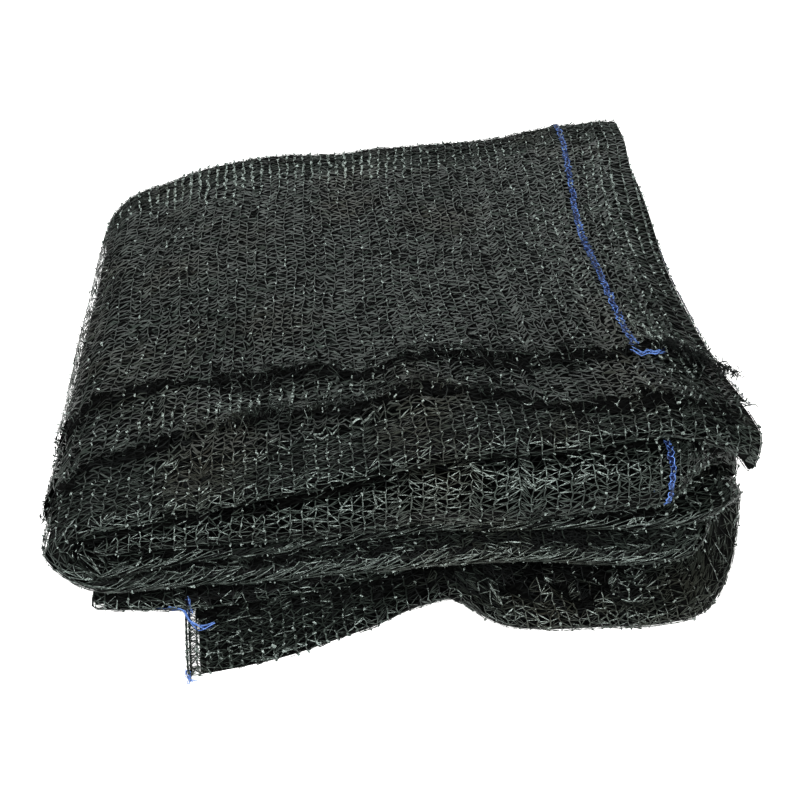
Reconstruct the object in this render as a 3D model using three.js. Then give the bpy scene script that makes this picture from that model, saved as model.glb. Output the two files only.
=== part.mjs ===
// A shade net, folded for storage. One long strip of knitted tape is doubled and pleated along
// its length into eight plies, and the pleated band is then folded in three across its width.
import * as THREE from 'three';

// Cloth, in mm
const sheetThickness = 1.2;
const panelGap = 4; // between two of the three panels
const plyCount = 8;

// Width fold: where the two bends start, and how far their inner ply stands out
const leftBendX = -168;
const rightBendX = 140;
const topRightX = 184; // right selvedge of the top panel
const bottomLeftX = -176; // left selvedge of the bottom panel
const bendInset = 2;
const leftBendReach = 1.42; // sideways reach of the left bend for each mm of height
const rightBendReach = 1.5;
const rightBendSquare = 0.58; // below 1 the right bend is squarer than an ellipse

// Pleats: each ply runs on into the next one of this order, by turns at the back and the front.
// Ply 0 is the cover and ply 7 the innermost ply of the left bend.
const plyOrder = [0, 3, 4, 7, 6, 5, 2, 1];

// Depth of each turn along y, and how far the ply's straight part stays behind the turn's tip
const turns = [
  { from: 0, to: 3, depth: 7, tip: 'upperBack', inset: 0, steps: 4 },
  { from: 3, to: 4, depth: 4, tip: 'upperLoop', inset: 4, steps: 4 },
  { from: 4, to: 7, depth: 7, tip: 'lowerBack', inset: 0, steps: 4 },
  { from: 7, to: 6, depth: 0.42, tip: 'lowerLoop', inset: 0, steps: 6 },
  { from: 6, to: 5, depth: 2, tip: 'lowerBack', inset: 8, steps: 4 },
  { from: 5, to: 2, depth: 7, tip: 'upperLoop', inset: 0, steps: 4 },
  { from: 2, to: 1, depth: 2, tip: 'upperBack', inset: 5, steps: 4 },
];
const roundTurn = turns[3]; // its depth is a share of the loop's own height

// The section across the width. at: 0 to 1 top panel, 1 to 2 left bend, 2 to 3 middle panel,
// 3 to 4 right bend, 4 to 5 bottom panel. coverEdge and secondEdge are the two cut ends,
// upperLoop and lowerLoop the front turns, all as y; pitch is the spacing of the plies,
// upperRise the height inside the upper loop, slotRise the gap in front between the two loops,
// frontRise and backRise the height of the lower loop.
const columns = [
  'at', 'coverEdge', 'secondEdge', 'upperLoop', 'lowerLoop', 'upperBack', 'lowerBack',
  'pitch', 'upperRise', 'slotRise', 'frontRise', 'backRise',
];
const sections = [
  [0.00, -126, -146, -164, -142, 184, 172, 3.5, 24.0, 3.5, 13, 39],
  [0.04, -112, -147, -165, -146, 184, 172, 3.5, 9.7, 3.5, 20, 39],
  [0.08, -104, -148, -166, -155, 183, 172, 3.4, 6.0, 3.4, 27, 38],
  [0.15, -105, -151, -168, -180, 182, 171, 3.3, 6.0, 3.3, 36, 37],
  [0.27, -106, -153, -172, -185, 181, 170, 3.2, 6.0, 3.2, 39, 34],
  [0.39, -106, -140, -174, -185, 180, 169, 3.0, 6.0, 3.0, 39, 32],
  [0.45, -92, -132, -174, -185, 179, 168, 3.0, 6.0, 3.0, 38, 30],
  [0.51, -93, -128, -173, -184, 179, 168, 3.0, 6.0, 3.0, 35, 28],
  [0.57, -99, -126, -171, -182, 178, 167, 3.0, 5.6, 3.0, 31, 27],
  [0.63, -93, -124, -169, -180, 178, 167, 3.0, 5.0, 3.0, 27, 26],
  [0.77, -81, -116, -166, -175, 178, 167, 3.0, 4.5, 3.0, 19, 25],
  [0.89, -71, -120, -165, -171, 176, 164, 3.0, 4.0, 3.0, 13, 23],
  [1.00, -75, -124, -165, -168, 169, 159, 3.0, 4.0, 3.0, 9, 15],
  [1.50, -88, -144, -168, -166, 150, 142, 3.0, 4.0, 3.0, 7, 5],
  [2.00, -100, -146, -176, -174, 158, 152, 2.7, 3.6, 3.0, 6, 5],
  [2.25, -106, -144, -180, -172, 166, 158, 2.7, 4.5, 4.5, 6, 5],
  [2.50, -108, -140, -182, -172, 168, 160, 2.7, 4.8, 6.0, 6, 5],
  [2.75, -108, -140, -186, -175, 168, 160, 2.7, 4.8, 6.5, 6, 5],
  [3.00, -108, -140, -190, -180, 166, 158, 2.8, 4.5, 5.5, 8, 5],
  [3.50, -100, -126, -154, -150, 156, 148, 3.0, 5.0, 3.0, 11, 5],
  [4.00, -124, -144, -170, -203, 164, 156, 2.7, 3.6, 2.7, 12, 5],
  [4.20, -122, -142, -162, -203, 166, 158, 2.6, 3.4, 2.6, 12, 5],
  [4.33, -122, -140, -160, -200, 166, 158, 2.6, 3.4, 2.6, 12, 5],
  [4.385, -122, -140, -160, -193, 166, 158, 2.6, 3.6, 2.6, 12, 5],
  [4.45, -122, -142, -162, -177, 166, 158, 2.6, 3.8, 2.6, 11, 5],
  [4.51, -122, -144, -166, -180, 165, 157, 2.5, 3.8, 2.5, 9, 4],
  [4.64, -122, -148, -173, -193, 165, 157, 2.5, 3.8, 2.5, 6, 4],
  [4.80, -120, -147, -175, -205, 163, 155, 2.4, 3.6, 2.4, 4, 4],
  [5.00, -118, -146, -172, -213, 158, 150, 2.2, 3.0, 2.2, 3, 3],
];

// Selvedges, as x for each ply: the right one of the top panel, the left one of the bottom panel
const selvedges = [
  { rightFront: 181, rightBack: 184, leftFront: -176, leftBack: -176 },
  { rightFront: 178, rightBack: 182, leftFront: -176, leftBack: -176 },
  { rightFront: 178, rightBack: 182, leftFront: -178, leftBack: -178 },
  { rightFront: 178, rightBack: 182, leftFront: -178, leftBack: -178 },
  { rightFront: 178, rightBack: 182, leftFront: -176, leftBack: -176 },
  { rightFront: 179, rightBack: 182, leftFront: -172, leftBack: -172 },
  { rightFront: 184, rightBack: 182, leftFront: -124, leftBack: -168 },
  { rightFront: 184, rightBack: 182, leftFront: -123, leftBack: -166 },
];
const frontY = -213; // front-most corner, on the bottom flap
const backY = 157;
const selvedgeSag = 18; // inner plies hang down at the top panel's right front corner
const sagFromX = 150;
const selvedgeDip = 14; // the right selvedge of the cover draws in at mid depth
const innerDip = 5; // and that of the plies below it
const dipFrontY = -150;
const dipLength = 300;

// Unevenness of the ply spacing: its share, and its waves across the width and along the band
const rippleShare = 0.12;
const loopRippleShare = 0.035; // of the lower loop's height
const rippleAcross = 2.2; // waves in a panel
const rippleShift = 1.7; // from one ply to the next
const rippleLength = 330;

// How far back the loops keep their height
const loopHold = 20;
const loopRun = 220;
const upperHold = 15;
const upperRun = 80;

// Mesh: the y that all plies share between their ends, and the longest step across the width
const plyStops = [-112, -55, 30];
const coverStops = [-55, 30];
const leastStep = 6;
const widestStep = 0.17;

const clamp01 = (v) => Math.min(1, Math.max(0, v));
const mix = (a, b, f) => a + (b - a) * f;
const ease = (v) => clamp01(v) ** 2 * (3 - 2 * clamp01(v));

// Value of one column at a place across the width, on a smooth curve through the rows
function column(name, at) {
  const c = columns.indexOf(name);
  const last = sections.length - 1;
  let i = 0;
  while (i < last - 1 && sections[i + 1][0] <= at) i += 1;
  const slope = (j) => {
    const before = sections[Math.max(j - 1, 0)];
    const after = sections[Math.min(j + 1, last)];
    return (after[c] - before[c]) / (after[0] - before[0]);
  };
  const span = sections[i + 1][0] - sections[i][0];
  const f = clamp01((at - sections[i][0]) / span);
  const g = 1 - f;
  return (1 + 2 * f) * g * g * sections[i][c]
    + f * g * g * slope(i) * span
    + f * f * (3 - 2 * f) * sections[i + 1][c]
    - f * f * g * slope(i + 1) * span;
}

// 0 in the upper loop, 1 behind it
const behindLoop = (at, y) => ease((y - column('upperLoop', at) - upperHold) / upperRun);

// Height of every ply above the band's inner side
function plyHeights(at, y) {
  const pitch = column('pitch', at);
  const back = ease((y - column('lowerLoop', at) - loopHold) / loopRun);
  const lowerRise = mix(column('frontRise', at), column('backRise', at), back);
  const behind = behindLoop(at, y);
  const upperRise = mix(column('upperRise', at), pitch, behind);
  const slotRise = mix(column('slotRise', at), pitch, behind);
  const spacing = [pitch, pitch, pitch, upperRise, pitch, slotRise, lowerRise];
  const heights = [0];
  for (let ply = plyCount - 2; ply >= 0; ply -= 1) {
    const phase = 2 * Math.PI * (at * rippleAcross + y / rippleLength) + ply * rippleShift;
    const share = ply === plyCount - 2 ? loopRippleShare : rippleShare;
    heights.unshift(heights[0] + spacing[ply] * (1 + share * Math.sin(phase)));
  }
  return heights;
}

const topAt = (x) => clamp01((topRightX - x) / (topRightX - leftBendX));
const middleAt = (x) => 2 + clamp01((x - leftBendX) / (rightBendX - leftBendX));
const bottomAt = (x) => 4 + clamp01((rightBendX - x) / (rightBendX - bottomLeftX));

// Mid heights of the gaps between the panels
const lowerGapZ = (x, y) => sheetThickness / 2 + plyHeights(bottomAt(x), y)[0] + panelGap / 2;
const upperGapZ = (x, y) => lowerGapZ(x, y) + panelGap + plyHeights(middleAt(x), y)[0];

// How far the inner plies hang down at the top panel's right front corner
function sagAt(x, y) {
  const share = clamp01((x - sagFromX) / (topRightX - sagFromX)) ** 3;
  return selvedgeSag * share * (1 - behindLoop(topAt(x), y));
}

// A selvedge at a level between two plies
function selvedgeX(level, side, y) {
  const ply = Math.min(Math.floor(level), plyCount - 2);
  const near = selvedges[ply];
  const next = selvedges[ply + 1];
  const front = mix(near[`${side}Front`], next[`${side}Front`], level - ply);
  const back = mix(near[`${side}Back`], next[`${side}Back`], level - ply);
  return mix(front, back, clamp01((y - frontY) / (backY - frontY)));
}

// x in the top and bottom panels
function topX(at, y, level) {
  const dip = mix(selvedgeDip, innerDip, clamp01(level))
    * Math.sin(Math.PI * clamp01((y - dipFrontY) / dipLength));
  return mix(selvedgeX(level, 'right', y), leftBendX, at) - dip * (1 - at) ** 3;
}
const bottomX = (at, y, level) => mix(rightBendX, selvedgeX(level, 'left', y), at - 4);

// Heights of the plies where one of them passes: plies above each other share one place
function heightsAt(at, y, level) {
  if (at <= 1) return plyHeights(topAt(topX(at, y, level)), y);
  if (at >= 4) return plyHeights(bottomAt(bottomX(at, y, level)), y);
  return plyHeights(at, y);
}

// Point of the folded cloth: at across the width, y along the band, height above its inner side
function place(at, y, height, level) {
  if (at <= 1) {
    const x = topX(at, y, level);
    return new THREE.Vector3(x, y, upperGapZ(x, y) - sagAt(x, y) + panelGap / 2 + height);
  }
  if (at < 2) {
    const angle = (at - 1) * Math.PI;
    const x = leftBendX - (bendInset + leftBendReach * height) * Math.sin(angle);
    return new THREE.Vector3(
      x, y, upperGapZ(leftBendX, y) + (panelGap / 2 + height) * Math.cos(angle));
  }
  if (at <= 3) {
    const x = mix(leftBendX, rightBendX, at - 2);
    return new THREE.Vector3(x, y, upperGapZ(x, y) - panelGap / 2 - height);
  }
  if (at < 4) {
    const angle = (at - 3) * Math.PI;
    const depth = plyHeights(at, y)[0] - height;
    const square = Math.sin(angle) ** rightBendSquare;
    const x = rightBendX + (bendInset + rightBendReach * depth) * square;
    return new THREE.Vector3(
      x, y, lowerGapZ(rightBendX, y) + (panelGap / 2 + depth) * Math.cos(angle));
  }
  return new THREE.Vector3(bottomX(at, y, level), y, sheetThickness / 2 + height);
}

// Where the straight part of each ply starts and ends, and the depth of its turns
function plyEnds(at) {
  const ends = plyOrder.map(() => ({}));
  ends[0].front = column('coverEdge', at);
  ends[1].front = column('secondEdge', at);
  for (const turn of turns) {
    const depth = turn === roundTurn ? turn.depth * column('frontRise', at) : turn.depth;
    const isBack = turn.tip.endsWith('Back');
    const tip = column(turn.tip, at) + (isBack ? -turn.inset : turn.inset);
    const start = isBack ? tip - depth : tip + depth;
    for (const ply of [turn.from, turn.to]) ends[ply][isBack ? 'back' : 'front'] = start;
  }
  return ends;
}

// The line along the whole cloth at one place across its width
function clothLine(at) {
  const ends = plyEnds(at);
  const points = [];
  plyOrder.forEach((ply, n) => {
    const goesBack = n % 2 === 0;
    const { front, back } = ends[ply];
    const inner = ply === 0 ? coverStops : plyStops;
    const stops = [front, ...inner.map((y) => Math.max(y, front + leastStep)), back];
    if (!goesBack) stops.reverse();
    for (const y of stops) points.push(place(at, y, heightsAt(at, y, ply)[ply], ply));
    const end = stops[stops.length - 1];
    const turn = turns[n];
    if (!turn) return;
    const depth = turn === roundTurn ? turn.depth * column('frontRise', at) : turn.depth;
    for (let step = 1; step < turn.steps; step += 1) {
      const angle = (Math.PI * step) / turn.steps;
      const y = end + (goesBack ? 1 : -1) * depth * Math.sin(angle);
      const share = (1 - Math.cos(angle)) / 2;
      const level = mix(turn.from, turn.to, share);
      const heights = heightsAt(at, y, level);
      points.push(place(at, y, mix(heights[turn.from], heights[turn.to], share), level));
    }
  });
  return points;
}

// Closed sheet of even thickness about a grid of points
function sheetGeometry(grid, thickness) {
  const rows = grid.length;
  const length = grid[0].length;
  const upper = [];
  const lower = [];
  for (let i = 0; i < rows; i += 1) {
    for (let j = 0; j < length; j += 1) {
      const across = new THREE.Vector3().subVectors(
        grid[Math.min(i + 1, rows - 1)][j], grid[Math.max(i - 1, 0)][j]);
      const along = new THREE.Vector3().subVectors(
        grid[i][Math.min(j + 1, length - 1)], grid[i][Math.max(j - 1, 0)]);
      const normal = across.cross(along).normalize();
      upper.push(grid[i][j].clone().addScaledVector(normal, thickness / 2));
      lower.push(grid[i][j].clone().addScaledVector(normal, -thickness / 2));
    }
  }
  const under = upper.length;
  const faces = [];
  const quad = (a, b, c, d) => faces.push(a, b, c, a, c, d);
  const slant = (p, q) => (q.x - p.x) * (q.y - p.y);
  for (let i = 0; i < rows - 1; i += 1) {
    for (let j = 0; j < length - 1; j += 1) {
      const a = i * length + j;
      const b = a + length;
      // Every ply is split on the same slant, so that neighbours stay apart
      if (slant(grid[i][j], grid[i + 1][j + 1]) > slant(grid[i + 1][j], grid[i][j + 1])) {
        quad(a, b, b + 1, a + 1);
        quad(under + b + 1, under + b, under + a, under + a + 1);
      } else {
        quad(b, b + 1, a + 1, a);
        quad(under + a + 1, under + b + 1, under + b, under + a);
      }
    }
  }
  const lastRow = (rows - 1) * length;
  for (let j = 0; j < length - 1; j += 1) {
    quad(j, j + 1, under + j + 1, under + j);
    quad(lastRow + j + 1, lastRow + j, under + lastRow + j, under + lastRow + j + 1);
  }
  for (let i = 0; i < rows - 1; i += 1) {
    const a = i * length;
    const b = a + length;
    quad(b, a, under + a, under + b);
    quad(a + length - 1, b + length - 1, under + b + length - 1, under + a + length - 1);
  }
  const geometry = new THREE.BufferGeometry();
  const positions = [...upper, ...lower].flatMap((p) => [p.x, p.y, p.z]);
  geometry.setAttribute('position', new THREE.Float32BufferAttribute(positions, 3));
  geometry.setIndex(faces);
  return geometry;
}

const stations = [sections[0][0]];
for (let row = 1; row < sections.length; row += 1) {
  const [start, end] = [sections[row - 1][0], sections[row][0]];
  const steps = Math.ceil((end - start) / widestStep);
  for (let step = 1; step <= steps; step += 1) stations.push(mix(start, end, step / steps));
}

const geometry = sheetGeometry(stations.map(clothLine), sheetThickness);
geometry.computeBoundingBox();
const centre = geometry.boundingBox.getCenter(new THREE.Vector3());
geometry.translate(-centre.x, -centre.y, 0);
geometry.computeVertexNormals();

const net = new THREE.Mesh(
  geometry,
  new THREE.MeshStandardMaterial({ color: 0x22262a, roughness: 0.6, side: THREE.DoubleSide }),
);
net.name = 'net';

const part = new THREE.Group();
part.name = 'folded_shade_net';
part.add(net);
export default part;
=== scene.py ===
import math
import bpy
import numpy as np
from mathutils import Euler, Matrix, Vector
from mathutils.bvhtree import BVHTree


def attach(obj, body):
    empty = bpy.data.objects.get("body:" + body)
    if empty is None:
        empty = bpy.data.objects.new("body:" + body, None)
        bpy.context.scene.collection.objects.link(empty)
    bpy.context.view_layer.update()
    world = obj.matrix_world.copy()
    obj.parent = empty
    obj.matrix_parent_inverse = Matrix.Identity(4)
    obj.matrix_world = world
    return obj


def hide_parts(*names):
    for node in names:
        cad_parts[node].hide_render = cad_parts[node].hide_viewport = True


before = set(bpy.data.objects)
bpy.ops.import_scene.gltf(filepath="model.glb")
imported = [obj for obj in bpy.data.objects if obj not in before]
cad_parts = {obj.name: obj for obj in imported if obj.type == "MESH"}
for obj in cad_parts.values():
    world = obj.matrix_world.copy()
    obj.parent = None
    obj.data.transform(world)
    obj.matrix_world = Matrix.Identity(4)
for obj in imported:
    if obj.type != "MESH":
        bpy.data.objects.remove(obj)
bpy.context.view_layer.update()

# The fold, the same as the solid's: a strip pleated in eight plies, then folded in three across its width.
# All fold sizes are in mm, and the mesh is written in metres.
fold = {
    "sheetThickness": 1.2,
    "panelGap": 4.0,
    "leftBendX": -168.0,
    "rightBendX": 140.0,
    "topRightX": 184.0,
    "bottomLeftX": -176.0,
    "bendInset": 2.0,
    "leftBendReach": 1.42,          # sideways reach of a bend for each mm of height
    "rightBendReach": 1.5,
    "rightBendSquare": 0.58,        # below 1 the right bend is squarer than an ellipse
    "frontY": -213.0,
    "backY": 157.0,
    "selvedgeSag": 18.0,            # inner plies hang down at the top panel's right front corner
    "sagFromX": 150.0,
    "selvedgeDip": 14.0,
    "innerDip": 5.0,                # of the plies below the cover
    "dipFrontY": -150.0,
    "dipLength": 300.0,
    "rippleShare": 0.12,
    "loopRippleShare": 0.035,
    "rippleAcross": 2.2,
    "rippleShift": 1.7,
    "rippleLength": 330.0,
    "loopHold": 20.0,
    "loopRun": 220.0,
    "upperHold": 15.0,
    "upperRun": 80.0,
    "splitY": 0.0,                  # where a ply passes from one turn's patch to the next one's
    "centre": (-8.466, -14.496),    # the pack's middle in these coordinates
}
metre = 0.001                       # one mm in metres
plyCount = 8
plies = np.arange(plyCount)

# at: 0 to 1 top panel, 1 to 2 left bend, 2 to 3 middle panel, 3 to 4 right bend, 4 to 5 bottom panel
sectionColumns = ["at", "coverEdge", "secondEdge", "upperLoop", "lowerLoop", "upperBack", "lowerBack",
                  "pitch", "upperRise", "slotRise", "frontRise", "backRise"]
sections = np.array([
    [0.00, -126, -146, -164, -142, 184, 172, 3.5, 24.0, 3.5, 13, 39],
    [0.04, -112, -147, -165, -146, 184, 172, 3.5, 9.7, 3.5, 20, 39],
    [0.08, -104, -148, -166, -155, 183, 172, 3.4, 6.0, 3.4, 27, 38],
    [0.15, -105, -151, -168, -180, 182, 171, 3.3, 6.0, 3.3, 36, 37],
    [0.27, -106, -153, -172, -185, 181, 170, 3.2, 6.0, 3.2, 39, 34],
    [0.39, -106, -140, -174, -185, 180, 169, 3.0, 6.0, 3.0, 39, 32],
    [0.45, -92, -132, -174, -185, 179, 168, 3.0, 6.0, 3.0, 38, 30],
    [0.51, -93, -128, -173, -184, 179, 168, 3.0, 6.0, 3.0, 35, 28],
    [0.57, -99, -126, -171, -182, 178, 167, 3.0, 5.6, 3.0, 31, 27],
    [0.63, -93, -124, -169, -180, 178, 167, 3.0, 5.0, 3.0, 27, 26],
    [0.77, -81, -116, -166, -175, 178, 167, 3.0, 4.5, 3.0, 19, 25],
    [0.89, -71, -120, -165, -171, 176, 164, 3.0, 4.0, 3.0, 13, 23],
    [1.00, -75, -124, -165, -168, 169, 159, 3.0, 4.0, 3.0, 9, 15],
    [1.50, -88, -144, -168, -166, 150, 142, 3.0, 4.0, 3.0, 7, 5],
    [2.00, -100, -146, -176, -174, 158, 152, 2.7, 3.6, 3.0, 6, 5],
    [2.25, -106, -144, -180, -172, 166, 158, 2.7, 4.5, 4.5, 6, 5],
    [2.50, -108, -140, -182, -172, 168, 160, 2.7, 4.8, 6.0, 6, 5],
    [2.75, -108, -140, -186, -175, 168, 160, 2.7, 4.8, 6.5, 6, 5],
    [3.00, -108, -140, -190, -180, 166, 158, 2.8, 4.5, 5.5, 8, 5],
    [3.50, -100, -126, -154, -150, 156, 148, 3.0, 5.0, 3.0, 11, 5],
    [4.00, -124, -144, -170, -203, 164, 156, 2.7, 3.6, 2.7, 12, 5],
    [4.20, -122, -142, -162, -203, 166, 158, 2.6, 3.4, 2.6, 12, 5],
    [4.33, -122, -140, -160, -200, 166, 158, 2.6, 3.4, 2.6, 12, 5],
    [4.385, -122, -140, -160, -193, 166, 158, 2.6, 3.6, 2.6, 12, 5],
    [4.45, -122, -142, -162, -177, 166, 158, 2.6, 3.8, 2.6, 11, 5],
    [4.51, -122, -144, -166, -180, 165, 157, 2.5, 3.8, 2.5, 9, 4],
    [4.64, -122, -148, -173, -193, 165, 157, 2.5, 3.8, 2.5, 6, 4],
    [4.80, -120, -147, -175, -205, 163, 155, 2.4, 3.6, 2.4, 4, 4],
    [5.00, -118, -146, -172, -213, 158, 150, 2.2, 3.0, 2.2, 3, 3],
])
# selvedges of plies 0 to 7 as x: right one of the top panel, left one of the bottom panel
selvedges = {
    "rightFront": np.array([181, 178, 178, 178, 178, 179, 184, 184.0]),
    "rightBack": np.array([184, 182, 182, 182, 182, 182, 182, 182.0]),
    "leftFront": np.array([-176, -176, -178, -178, -176, -172, -124, -123.0]),
    "leftBack": np.array([-176, -176, -178, -178, -176, -172, -168, -166.0]),
}
# turns in the order of the cloth: back and front by turns, from one ply to the next one of the strip
turns = [
    {"fromPly": 0, "toPly": 3, "depth": 7, "tip": "upperBack", "inset": 0},
    {"fromPly": 3, "toPly": 4, "depth": 4, "tip": "upperLoop", "inset": 4},
    {"fromPly": 4, "toPly": 7, "depth": 7, "tip": "lowerBack", "inset": 0},
    {"fromPly": 7, "toPly": 6, "depthShare": 0.42, "tip": "lowerLoop", "inset": 0},
    {"fromPly": 6, "toPly": 5, "depth": 2, "tip": "lowerBack", "inset": 8},
    {"fromPly": 5, "toPly": 2, "depth": 7, "tip": "upperLoop", "inset": 0},
    {"fromPly": 2, "toPly": 1, "depth": 2, "tip": "upperBack", "inset": 5},
]

# Creases and slack that only the net itself shows
creases = {
    "lipY": -141.0,                 # second lip behind the upper loop
    "lipSway": 2.5,
    "lipTurn": 23.0,                # of its sway, in radians across a panel
    "lipRise": 4.2,
    "lipWidth": 7.0,
    "lipFrom": 0.47,                # its reach across the top panel
    "lipTo": 0.97,
    "lipFadeIn": 0.06,
    "lipFadeOut": 0.08,
    "slumpShare": 0.7,              # of the lip's rise, lost further back
    "slumpFrom": 20.0,
    "slumpRun": 60.0,
    "curlTo": 1.12,                 # the cut edges curl up as far as the left bend
    "curlFade": 0.12,
    "curlMost": 1.2,
    "waveSize": 1.1,                # soft unevenness of the whole pack
    "waveLength": (60.0, 150.0),
    "waveCount": 9,
    "waveTilt": 0.9,
    "waveAside": 0.8,
    "waveHeight": 25.0,             # below it the floor holds the pack level
    "swellX": -48.0,                # soft swell of the back edge
    "swellRise": 5.0,
    "swellWidth": 38.0,
    "swellFromY": 30.0,
    "swellRun": 110.0,
    "swellHeight": 60.0,
    "archX": -3.0,                  # buckle in the bottom hem
    "archY": -184.0,
    "archRise": 3.0,
    "archWidth": 14.0,
    "archDepth": 15.0,
    "archTop": 42.0,
    "crumpleRise": 4.5,             # slanting folds on the bottom hem, right of the arch
    "crumpleLength": 24.0,
    "crumpleUneven": 0.6,
    "unevenTurns": (0.17, -0.05),   # radians for each mm of x and y
    "crumpleFrontY": -199.0,
    "crumpleBackY": -164.0,
    "crumpleRun": 16.0,
    "crumpleTo": 4.42,
    "crumpleFade": 0.06,
}
# waves in which the two cut edges curl up: size, turn and shift of each
edgeCurls = [
    {"ply": 0, "edge": "coverEdge", "lift": 9.0, "reach": 26.0, "mean": 0.45,
     "waves": [(0.35, 19.0, 0.6), (0.2, 47.0, 2.0)]},
    {"ply": 1, "edge": "secondEdge", "lift": 5.5, "reach": 18.2, "mean": 0.4,
     "waves": [(0.4, 24.0, 2.6), (0.2, 53.0, 0.0)]},
]


def mix(a, b, share):
    return a + (b - a) * share


def ease(value):
    value = np.clip(value, 0.0, 1.0)
    return value * value * (3 - 2 * value)


stations = sections[:, 0]
slopes = np.empty_like(sections)
slopes[1:-1] = (sections[2:] - sections[:-2]) / (stations[2:] - stations[:-2])[:, None]
slopes[0] = (sections[1] - sections[0]) / (stations[1] - stations[0])
slopes[-1] = (sections[-1] - sections[-2]) / (stations[-1] - stations[-2])


# all columns of the section at a place across the width, on smooth curves through the rows
def sectionAt(at):
    row = np.clip(np.searchsorted(stations, at, side="right") - 1, 0, len(stations) - 2)
    span = stations[row + 1] - stations[row]
    f = np.clip((at - stations[row]) / span, 0.0, 1.0)
    g = 1 - f
    value = (((1 + 2 * f) * g * g)[..., None] * sections[row]
             + (f * g * g * span)[..., None] * slopes[row]
             + (f * f * (3 - 2 * f))[..., None] * sections[row + 1]
             - (f * f * g * span)[..., None] * slopes[row + 1])
    return {name: value[..., i] for i, name in enumerate(sectionColumns)}


# 0 in the upper loop, 1 behind it
def behindLoop(here, y):
    return ease((y - here["upperLoop"] - fold["upperHold"]) / fold["upperRun"])


# height of every ply above the band's inner side, with the lip and the curled edges
def plyHeights(at, y):
    here = sectionAt(at)
    pitch = here["pitch"]
    back = ease((y - here["lowerLoop"] - fold["loopHold"]) / fold["loopRun"])
    lowerRise = mix(here["frontRise"], here["backRise"], back)
    behind = behindLoop(here, y)
    upperRise = mix(here["upperRise"], pitch, behind)
    slotRise = mix(here["slotRise"], pitch, behind)
    spacing = [pitch, pitch, pitch, upperRise, pitch, slotRise, lowerRise]
    heights = np.zeros(at.shape + (plyCount,))
    for ply in range(plyCount - 2, -1, -1):
        phase = 2 * np.pi * (at * fold["rippleAcross"] + y / fold["rippleLength"]) + ply * fold["rippleShift"]
        share = fold["loopRippleShare"] if ply == plyCount - 2 else fold["rippleShare"]
        heights[..., ply] = heights[..., ply + 1] + spacing[ply] * (1 + share * np.sin(phase))
    lipShare = ease((at - creases["lipFrom"]) / creases["lipFadeIn"])
    lipShare = lipShare * ease((creases["lipTo"] - at) / creases["lipFadeOut"])
    behindLip = y - (creases["lipY"] + creases["lipSway"] * np.sin(at * creases["lipTurn"]))
    lip = creases["lipRise"] * lipShare * ease(behindLip / creases["lipWidth"])
    slump = ease((behindLip - creases["slumpFrom"]) / creases["slumpRun"])
    heights[..., :3] += (lip * (1 - creases["slumpShare"] * slump))[..., None]
    onTop = ease((creases["curlTo"] - at) / creases["curlFade"])
    for edge in edgeCurls:
        curl = np.clip(1 - (y - here[edge["edge"]]) / edge["reach"], 0, creases["curlMost"]) ** 2
        wave = edge["mean"]
        for size, turn, shift in edge["waves"]:
            wave = wave + size * np.sin(at * turn + shift)
        heights[..., edge["ply"]] += edge["lift"] * onTop * curl * wave
    across = fold["rightBendX"] - (at - 4) * (fold["rightBendX"] - fold["bottomLeftX"])
    turnX, turnY = creases["unevenTurns"]
    slant = np.sin(2 * np.pi * (across + y) / creases["crumpleLength"])
    slant = slant + creases["crumpleUneven"] * np.sin(turnX * across + turnY * y)
    window = ease((y - creases["crumpleFrontY"]) / creases["crumpleRun"])
    window = window * ease((creases["crumpleBackY"] - y) / creases["crumpleRun"])
    window = window * ease((at - 4) / creases["crumpleFade"])
    window = window * ease((creases["crumpleTo"] - at) / creases["crumpleFade"])
    heights[..., 6] += creases["crumpleRise"] * window * slant
    return heights


def topAt(x):
    return np.clip((fold["topRightX"] - x) / (fold["topRightX"] - fold["leftBendX"]), 0, 1)


def middleAt(x):
    return 2 + np.clip((x - fold["leftBendX"]) / (fold["rightBendX"] - fold["leftBendX"]), 0, 1)


def bottomAt(x):
    return 4 + np.clip((fold["rightBendX"] - x) / (fold["rightBendX"] - fold["bottomLeftX"]), 0, 1)


# mid heights of the gaps between the panels
def lowerGapZ(x, y):
    return (fold["sheetThickness"] + fold["panelGap"]) / 2 + plyHeights(bottomAt(x), y)[..., 0]


def upperGapZ(x, y):
    return lowerGapZ(x, y) + fold["panelGap"] + plyHeights(middleAt(x), y)[..., 0]


# how far the inner plies hang down at the top panel's right front corner
def sagAt(x, y):
    share = np.clip((x - fold["sagFromX"]) / (fold["topRightX"] - fold["sagFromX"]), 0, 1) ** 3
    return fold["selvedgeSag"] * share * (1 - behindLoop(sectionAt(topAt(x)), y))


# a selvedge at a level between two plies
def selvedgeX(level, side, y):
    front = np.interp(level, plies, selvedges[side + "Front"])
    back = np.interp(level, plies, selvedges[side + "Back"])
    return mix(front, back, np.clip((y - fold["frontY"]) / (fold["backY"] - fold["frontY"]), 0, 1))


# x in the top and bottom panels
def topX(at, y, level):
    dip = mix(fold["selvedgeDip"], fold["innerDip"], np.clip(level, 0, 1))
    dip = dip * np.sin(np.pi * np.clip((y - fold["dipFrontY"]) / fold["dipLength"], 0, 1))
    return mix(selvedgeX(level, "right", y), fold["leftBendX"], at) - dip * np.clip(1 - at, 0, 1) ** 3


def bottomX(at, y, level):
    return mix(fold["rightBendX"], selvedgeX(level, "left", y), at - 4)


# heights of the plies where one of them passes: plies above each other share one place
def heightsAt(at, y, level):
    shared = np.where(at <= 1, topAt(topX(at, y, level)), at)
    shared = np.where(at >= 4, bottomAt(bottomX(at, y, level)), shared)
    return plyHeights(shared, y)


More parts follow.
